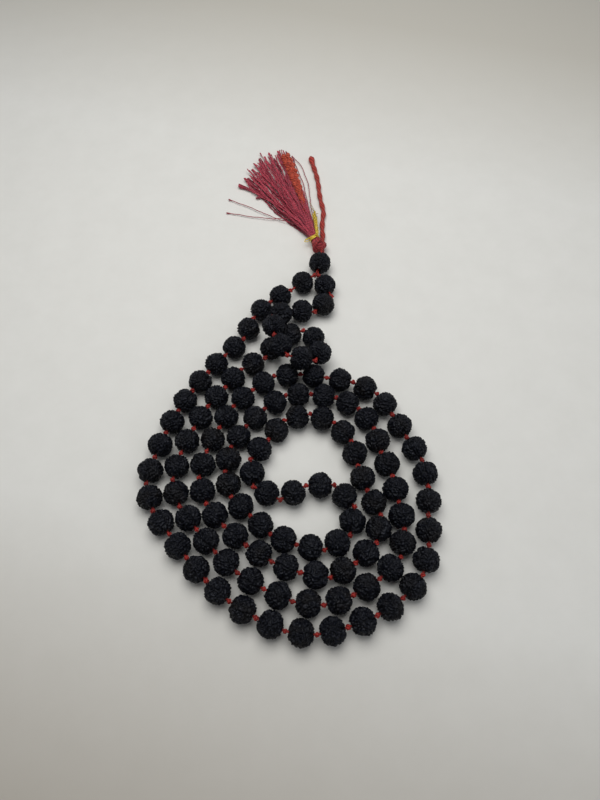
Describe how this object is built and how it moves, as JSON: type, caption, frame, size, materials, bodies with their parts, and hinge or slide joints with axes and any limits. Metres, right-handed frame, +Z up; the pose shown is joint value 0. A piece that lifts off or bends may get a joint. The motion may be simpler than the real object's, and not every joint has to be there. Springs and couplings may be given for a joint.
{
  "type": "mala prayer beads",
  "caption": "String of dark ridged seed beads with red knots between them, laid in loops, with a larger end bead, a head knot and a silk tassel with gold thread.",
  "frame": {"origin": "middle of the area the mala covers, on the surface that it lies on", "axes": "+Z up; +Y along the longest extent, towards the tassel's tips; +X to the right when looking along +Y from above"},
  "size_m": [0.0975, 0.1988, 0.0161],
  "materials": {
    "seed": "dark oiled seed with fine raised ridges",
    "red_cord": "waxed twisted red thread",
    "crimson_knot": "crumpled silk threads",
    "crimson_silk": "fine silk threads",
    "orange_yarn": "soft twisted yarn",
    "gold_thread": "metallic thread",
    "tail_cord": "two-ply twisted cord"
  },
  "bodies": {
    "strand": {"stringing_cord": "red_cord", "spacer_knots": "red_cord", "beads_024_to_054": "seed", "beads_055_to_085": "seed"},
    "loop_end": {"loop_end_cord": "red_cord"},
    "stem": {"meru_stem": "red_cord"},
    "meru": {"meru_bead": "seed"},
    "tassel": {"head_knot": "crimson_knot"},
    "skirt": {"tassel_skirt": "crimson_silk", "orange_yarn": "orange_yarn", "gold_binding": "gold_thread", "gold_ends": "gold_thread"},
    "tail": {"tail_cord": "tail_cord", "tail_end": "tail_cord"},
    "own_bead_001": {"bead_001": "seed"},
    "own_bead_002": {"bead_002": "seed"},
    "own_bead_003": {"bead_003": "seed"},
    "own_bead_004": {"bead_004": "seed"},
    "own_bead_005": {"bead_005": "seed"},
    "own_bead_006": {"bead_006": "seed"},
    "own_bead_007": {"bead_007": "seed"},
    "own_bead_008": {"bead_008": "seed"},
    "own_bead_009": {"bead_009": "seed"},
    "own_bead_010": {"bead_010": "seed"},
    "own_bead_011": {"bead_011": "seed"},
    "own_bead_012": {"bead_012": "seed"},
    "own_bead_013": {"bead_013": "seed"},
    "own_bead_014": {"bead_014": "seed"},
    "own_bead_015": {"bead_015": "seed"},
    "own_bead_016": {"bead_016": "seed"},
    "own_bead_017": {"bead_017": "seed"},
    "own_bead_018": {"bead_018": "seed"},
    "own_bead_019": {"bead_019": "seed"},
    "own_bead_020": {"bead_020": "seed"},
    "own_bead_021": {"bead_021": "seed"},
    "own_bead_022": {"bead_022": "seed"},
    "own_bead_023": {"bead_023": "seed"},
    "own_bead_086": {"bead_086": "seed"},
    "own_bead_087": {"bead_087": "seed"},
    "own_bead_088": {"bead_088": "seed"},
    "own_bead_089": {"bead_089": "seed"},
    "own_bead_090": {"bead_090": "seed"},
    "own_bead_091": {"bead_091": "seed"},
    "own_bead_092": {"bead_092": "seed"},
    "own_bead_093": {"bead_093": "seed"},
    "own_bead_094": {"bead_094": "seed"},
    "own_bead_095": {"bead_095": "seed"},
    "own_bead_096": {"bead_096": "seed"},
    "own_bead_097": {"bead_097": "seed"},
    "own_bead_098": {"bead_098": "seed"},
    "own_bead_099": {"bead_099": "seed"},
    "own_bead_100": {"bead_100": "seed"},
    "own_bead_101": {"bead_101": "seed"},
    "own_bead_102": {"bead_102": "seed"},
    "own_bead_103": {"bead_103": "seed"},
    "own_bead_104": {"bead_104": "seed"},
    "own_bead_105": {"bead_105": "seed"},
    "own_bead_106": {"bead_106": "seed"},
    "own_bead_107": {"bead_107": "seed"},
    "own_bead_108": {"bead_108": "seed"}
  },
  "joints": [
    {"name": "loop_end_lift", "type": "hinge", "parent": "strand", "child": "loop_end", "pos_m": [0.00051, 0.02432, 0.00415], "axis": [0.9843, -0.1767, 0], "range_deg": [0, 15]},
    {"name": "meru_lift", "type": "hinge", "parent": "loop_end", "child": "stem", "pos_m": [0.01025, 0.0315, 0.00415], "axis": [1, 0, 0], "range_deg": [0, 60]},
    {"name": "tassel_swing", "type": "hinge", "parent": "stem", "child": "tassel", "pos_m": [0.0114, 0.0463, 0.0029], "axis": [0, 0, 1], "range_deg": [-25, 25]},
    {"name": "skirt_lift", "type": "hinge", "parent": "tassel", "child": "skirt", "pos_m": [0.0114, 0.0463, 0.0029], "axis": [1, 0, 0], "range_deg": [0, 50]},
    {"name": "tail_swing", "type": "hinge", "parent": "tassel", "child": "tail", "pos_m": [0.0114, 0.0463, 0.0029], "axis": [0, 0, -1], "range_deg": [0, 30]},
    {"name": "meru_spin", "type": "hinge", "parent": "stem", "child": "meru", "pos_m": [0.0116, 0.037, 0.00425], "axis": [0.2383, 0.971, 0.0177], "continuous": true},
    {"name": "bead_001_spin", "type": "hinge", "parent": "loop_end", "child": "own_bead_001", "pos_m": [0.00501, 0.02791, 0.00415], "axis": [-0.7814, -0.6241, 0], "continuous": true},
    {"name": "bead_002_spin", "type": "hinge", "parent": "strand", "child": "own_bead_002", "pos_m": [-0.00331, 0.02167, 0.00415], "axis": [-0.8218, -0.5697, 0], "continuous": true},
    {"name": "bead_003_spin", "type": "hinge", "parent": "strand", "child": "own_bead_003", "pos_m": [-0.0101, 0.01544, 0.00415], "axis": [-0.6375, -0.7704, 0], "continuous": true},
    {"name": "bead_004_spin", "type": "hinge", "parent": "strand", "child": "own_bead_004", "pos_m": [-0.01466, 0.00749, 0.00415], "axis": [-0.3446, -0.9387, 0], "continuous": true},
    {"name": "bead_005_spin", "type": "hinge", "parent": "strand", "child": "own_bead_005", "pos_m": [-0.01945, -0.00027, 0.00415], "axis": [-0.6834, -0.73, 0], "continuous": true},
    {"name": "bead_006_spin", "type": "hinge", "parent": "strand", "child": "own_bead_006", "pos_m": [-0.02539, -0.00702, 0.00415], "axis": [-0.6357, -0.7719, 0], "continuous": true},
    {"name": "bead_007_spin", "type": "hinge", "parent": "strand", "child": "own_bead_007", "pos_m": [-0.03063, -0.01397, 0.00415], "axis": [-0.5683, -0.8228, 0], "continuous": true},
    {"name": "bead_008_spin", "type": "hinge", "parent": "strand", "child": "own_bead_008", "pos_m": [-0.03519, -0.02139, 0.00415], "axis": [-0.4759, -0.8795, 0], "continuous": true},
    {"name": "bead_009_spin", "type": "hinge", "parent": "strand", "child": "own_bead_009", "pos_m": [-0.03901, -0.02921, 0.00415], "axis": [-0.4026, -0.9154, 0], "continuous": true},
    {"name": "bead_010_spin", "type": "hinge", "parent": "strand", "child": "own_bead_010", "pos_m": [-0.04218, -0.03751, 0.00415], "axis": [-0.3123, -0.95, 0], "continuous": true},
    {"name": "bead_011_spin", "type": "hinge", "parent": "strand", "child": "own_bead_011", "pos_m": [-0.04449, -0.04639, 0.00415], "axis": [-0.1919, -0.9814, 0], "continuous": true},
    {"name": "bead_012_spin", "type": "hinge", "parent": "strand", "child": "own_bead_012", "pos_m": [-0.04381, -0.05533, 0.00415], "axis": [0.3392, -0.9407, 0], "continuous": true},
    {"name": "bead_013_spin", "type": "hinge", "parent": "strand", "child": "own_bead_013", "pos_m": [-0.03936, -0.06338, 0.00415], "axis": [0.6174, -0.7867, 0], "continuous": true},
    {"name": "bead_014_spin", "type": "hinge", "parent": "strand", "child": "own_bead_014", "pos_m": [-0.0335, -0.07062, 0.00415], "axis": [0.6391, -0.7691, 0], "continuous": true},
    {"name": "bead_015_spin", "type": "hinge", "parent": "strand", "child": "own_bead_015", "pos_m": [-0.02732, -0.07758, 0.00415], "axis": [0.6892, -0.7246, 0], "continuous": true},
    {"name": "bead_016_spin", "type": "hinge", "parent": "strand", "child": "own_bead_016", "pos_m": [-0.02053, -0.08392, 0.00415], "axis": [0.7693, -0.6389, 0], "continuous": true},
    {"name": "bead_017_spin", "type": "hinge", "parent": "strand", "child": "own_bead_017", "pos_m": [-0.01291, -0.08921, 0.00415], "axis": [0.868, -0.4966, 0], "continuous": true},
    {"name": "bead_018_spin", "type": "hinge", "parent": "strand", "child": "own_bead_018", "pos_m": [-0.00459, -0.09334, 0.00415], "axis": [0.9202, -0.3913, 0], "continuous": true},
    {"name": "bead_019_spin", "type": "hinge", "parent": "strand", "child": "own_bead_019", "pos_m": [0.00431, -0.09564, 0.00415], "axis": [0.9945, -0.1043, 0], "continuous": true},
    {"name": "bead_020_spin", "type": "hinge", "parent": "strand", "child": "own_bead_020", "pos_m": [0.01348, -0.09511, 0.00415], "axis": [0.9758, 0.2186, 0], "continuous": true},
    {"name": "bead_021_spin", "type": "hinge", "parent": "strand", "child": "own_bead_021", "pos_m": [0.02237, -0.09246, 0.00415], "axis": [0.936, 0.352, 0], "continuous": true},
    {"name": "bead_022_spin", "type": "hinge", "parent": "strand", "child": "own_bead_022", "pos_m": [0.03063, -0.08839, 0.00415], "axis": [0.8494, 0.5278, 0], "continuous": true},
    {"name": "bead_023_spin", "type": "hinge", "parent": "strand", "child": "own_bead_023", "pos_m": [0.03779, -0.08264, 0.00415], "axis": [0.699, 0.7152, 0], "continuous": true},
    {"name": "bead_086_spin", "type": "hinge", "parent": "strand", "child": "own_bead_086", "pos_m": [-0.00251, -0.08518, 0.00415], "axis": [-0.9222, 0.3868, 0], "continuous": true},
    {"name": "bead_087_spin", "type": "hinge", "parent": "strand", "child": "own_bead_087", "pos_m": [-0.01083, -0.08103, 0.00415], "axis": [-0.8639, 0.5036, 0], "continuous": true},
    {"name": "bead_088_spin", "type": "hinge", "parent": "strand", "child": "own_bead_088", "pos_m": [-0.01836, -0.07561, 0.00415], "axis": [-0.7519, 0.6593, 0], "continuous": true},
    {"name": "bead_089_spin", "type": "hinge", "parent": "strand", "child": "own_bead_089", "pos_m": [-0.02499, -0.06907, 0.00415], "axis": [-0.6686, 0.7436, 0], "continuous": true},
    {"name": "bead_090_spin", "type": "hinge", "parent": "strand", "child": "own_bead_090", "pos_m": [-0.03105, -0.06198, 0.00415], "axis": [-0.6311, 0.7757, 0], "continuous": true},
    {"name": "bead_091_spin", "type": "hinge", "parent": "strand", "child": "own_bead_091", "pos_m": [-0.03551, -0.05394, 0.00415], "axis": [-0.3238, 0.9461, 0], "continuous": true},
    {"name": "bead_092_spin", "type": "hinge", "parent": "strand", "child": "own_bead_092", "pos_m": [-0.03609, -0.04496, 0.00415], "axis": [0.199, 0.98, 0], "continuous": true},
    {"name": "bead_093_spin", "type": "hinge", "parent": "strand", "child": "own_bead_093", "pos_m": [-0.0334, -0.03608, 0.00415], "axis": [0.3795, 0.9252, 0], "continuous": true},
    {"name": "bead_094_spin", "type": "hinge", "parent": "strand", "child": "own_bead_094", "pos_m": [-0.02952, -0.02762, 0.00415], "axis": [0.4524, 0.8918, 0], "continuous": true},
    {"name": "bead_095_spin", "type": "hinge", "parent": "strand", "child": "own_bead_095", "pos_m": [-0.02465, -0.0199, 0.00415], "axis": [0.6123, 0.7907, 0], "continuous": true},
    {"name": "bead_096_spin", "type": "hinge", "parent": "strand", "child": "own_bead_096", "pos_m": [-0.01924, -0.01277, 0.00415], "axis": [0.5973, 0.802, 0], "continuous": true},
    {"name": "bead_097_spin", "type": "hinge", "parent": "strand", "child": "own_bead_097", "pos_m": [-0.0125, -0.007, 0.00415], "axis": [0.8786, 0.4775, 0], "continuous": true},
    {"name": "bead_098_spin", "type": "hinge", "parent": "strand", "child": "own_bead_098", "pos_m": [-0.00615, -0.00069, 0.00415], "axis": [0.484, 0.875, 0], "continuous": true},
    {"name": "bead_099_spin", "type": "hinge", "parent": "strand", "child": "own_bead_099", "pos_m": [0.00064, 0.00508, 0.00415], "axis": [0.9373, 0.3485, 0], "continuous": true},
    {"name": "bead_100_spin", "type": "hinge", "parent": "strand", "child": "own_bead_100", "pos_m": [0.00887, 0.00341, 0.00467], "axis": [0.737, -0.6679, 0.1034], "continuous": true},
    {"name": "bead_101_spin", "type": "hinge", "parent": "strand", "child": "own_bead_101", "pos_m": [0.0109, -0.00429, 0.00728], "axis": [-0.326, -0.8524, 0.4088], "continuous": true},
    {"name": "bead_102_spin", "type": "hinge", "parent": "strand", "child": "own_bead_102", "pos_m": [0.00449, -0.0084, 0.01082], "axis": [-0.9545, 0.0497, 0.294], "continuous": true},
    {"name": "bead_103_spin", "type": "hinge", "parent": "strand", "child": "own_bead_103", "pos_m": [-0.00258, -0.00396, 0.012], "axis": [-0.4831, 0.8735, -0.0593], "continuous": true},
    {"name": "bead_104_spin", "type": "hinge", "parent": "strand", "child": "own_bead_104", "pos_m": [-0.00528, 0.00478, 0.01051], "axis": [-0.0816, 0.9631, -0.2565], "continuous": true},
    {"name": "bead_105_spin", "type": "hinge", "parent": "strand", "child": "own_bead_105", "pos_m": [-0.00277, 0.01221, 0.00701], "axis": [0.6179, 0.6159, -0.4887], "continuous": true},
    {"name": "bead_106_spin", "type": "hinge", "parent": "strand", "child": "own_bead_106", "pos_m": [0.00478, 0.01491, 0.00444], "axis": [0.9975, -0.0384, -0.0598], "continuous": true},
    {"name": "bead_107_spin", "type": "hinge", "parent": "strand", "child": "own_bead_107", "pos_m": [0.0126, 0.01816, 0.00416], "axis": [0.6778, 0.7353, -0.0013], "continuous": true},
    {"name": "bead_108_spin", "type": "hinge", "parent": "loop_end", "child": "own_bead_108", "pos_m": [0.01338, 0.02654, 0.00415], "axis": [-0.4328, 0.9015, 0], "continuous": true}
  ]
}
